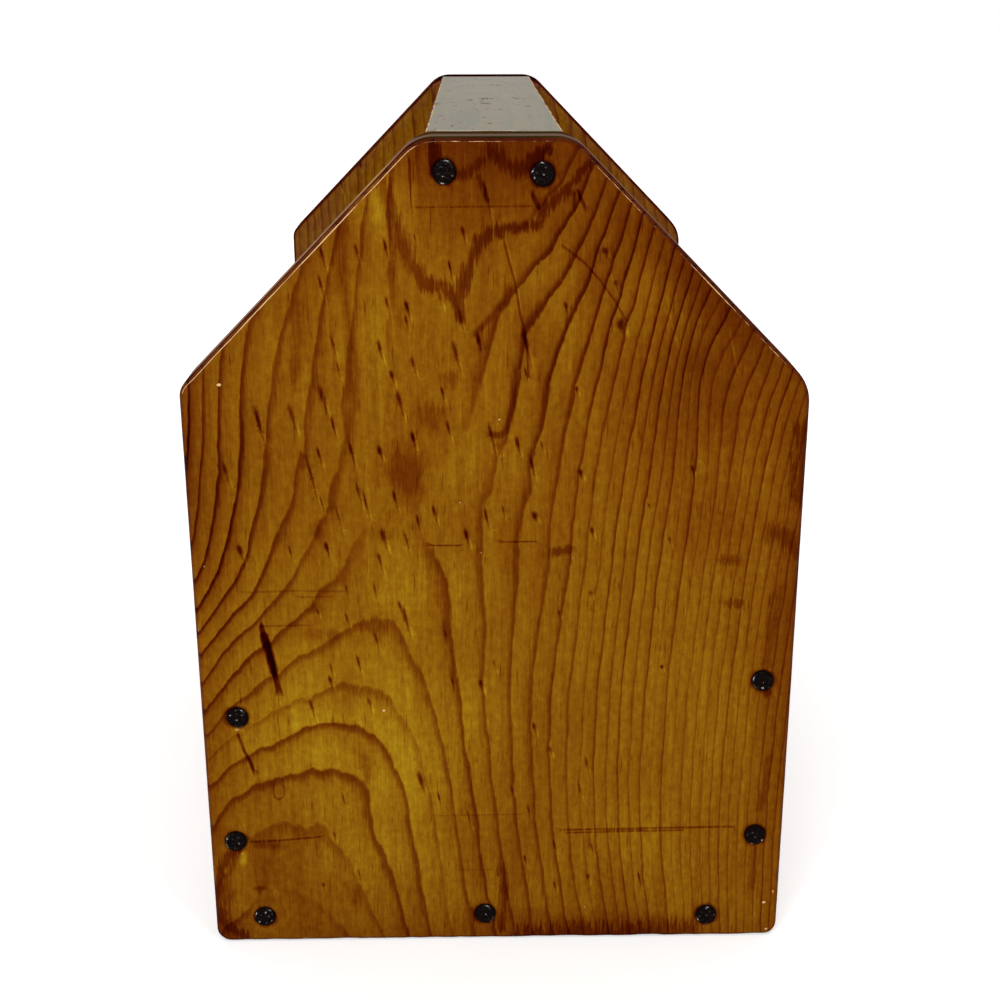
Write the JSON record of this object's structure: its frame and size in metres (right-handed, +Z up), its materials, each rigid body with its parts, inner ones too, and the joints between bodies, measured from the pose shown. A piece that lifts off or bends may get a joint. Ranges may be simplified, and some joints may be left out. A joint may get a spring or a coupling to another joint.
{
  "type": "wooden tool caddy",
  "caption": "Open wooden tool caddy: a nailed board tray with tall gabled ends and a flat bar handle between them, for carrying hand tools.",
  "frame": {"origin": "middle of the underside, on the bench", "axes": "+Z up, +Y along the tray and the handle from the front end to the rear end, +X to the right as seen from the front"},
  "size_m": [0.184, 0.3178, 0.258],
  "materials": {
    "end_board_pine": "amber varnish, glossy",
    "tray_pine": "amber varnish, glossy",
    "handle_pine": "amber varnish, worn glossy",
    "blackened_nail": "blackened, hammered"
  },
  "bodies": {
    "root": {"front_end": "end_board_pine", "rear_end": "end_board_pine", "left_side": "tray_pine", "right_side": "tray_pine", "bottom": "tray_pine", "handle": "handle_pine", "front_handle_nail_left": "blackened_nail", "front_handle_nail_right": "blackened_nail", "front_left_side_nail_lower": "blackened_nail", "front_left_side_nail_upper": "blackened_nail", "front_right_side_nail_lower": "blackened_nail", "front_right_side_nail_upper": "blackened_nail", "front_bottom_nail_left": "blackened_nail", "front_bottom_nail_middle": "blackened_nail", "front_bottom_nail_right": "blackened_nail", "rear_handle_nail_left": "blackened_nail", "rear_handle_nail_right": "blackened_nail", "rear_left_side_nail_lower": "blackened_nail", "rear_left_side_nail_upper": "blackened_nail", "rear_right_side_nail_lower": "blackened_nail", "rear_right_side_nail_upper": "blackened_nail", "rear_bottom_nail_left": "blackened_nail", "rear_bottom_nail_middle": "blackened_nail", "rear_bottom_nail_right": "blackened_nail", "left_floor_nail_front": "blackened_nail", "left_floor_nail_middle": "blackened_nail", "left_floor_nail_rear": "blackened_nail", "right_floor_nail_front": "blackened_nail", "right_floor_nail_middle": "blackened_nail", "right_floor_nail_rear": "blackened_nail"}
  },
  "joints": []
}
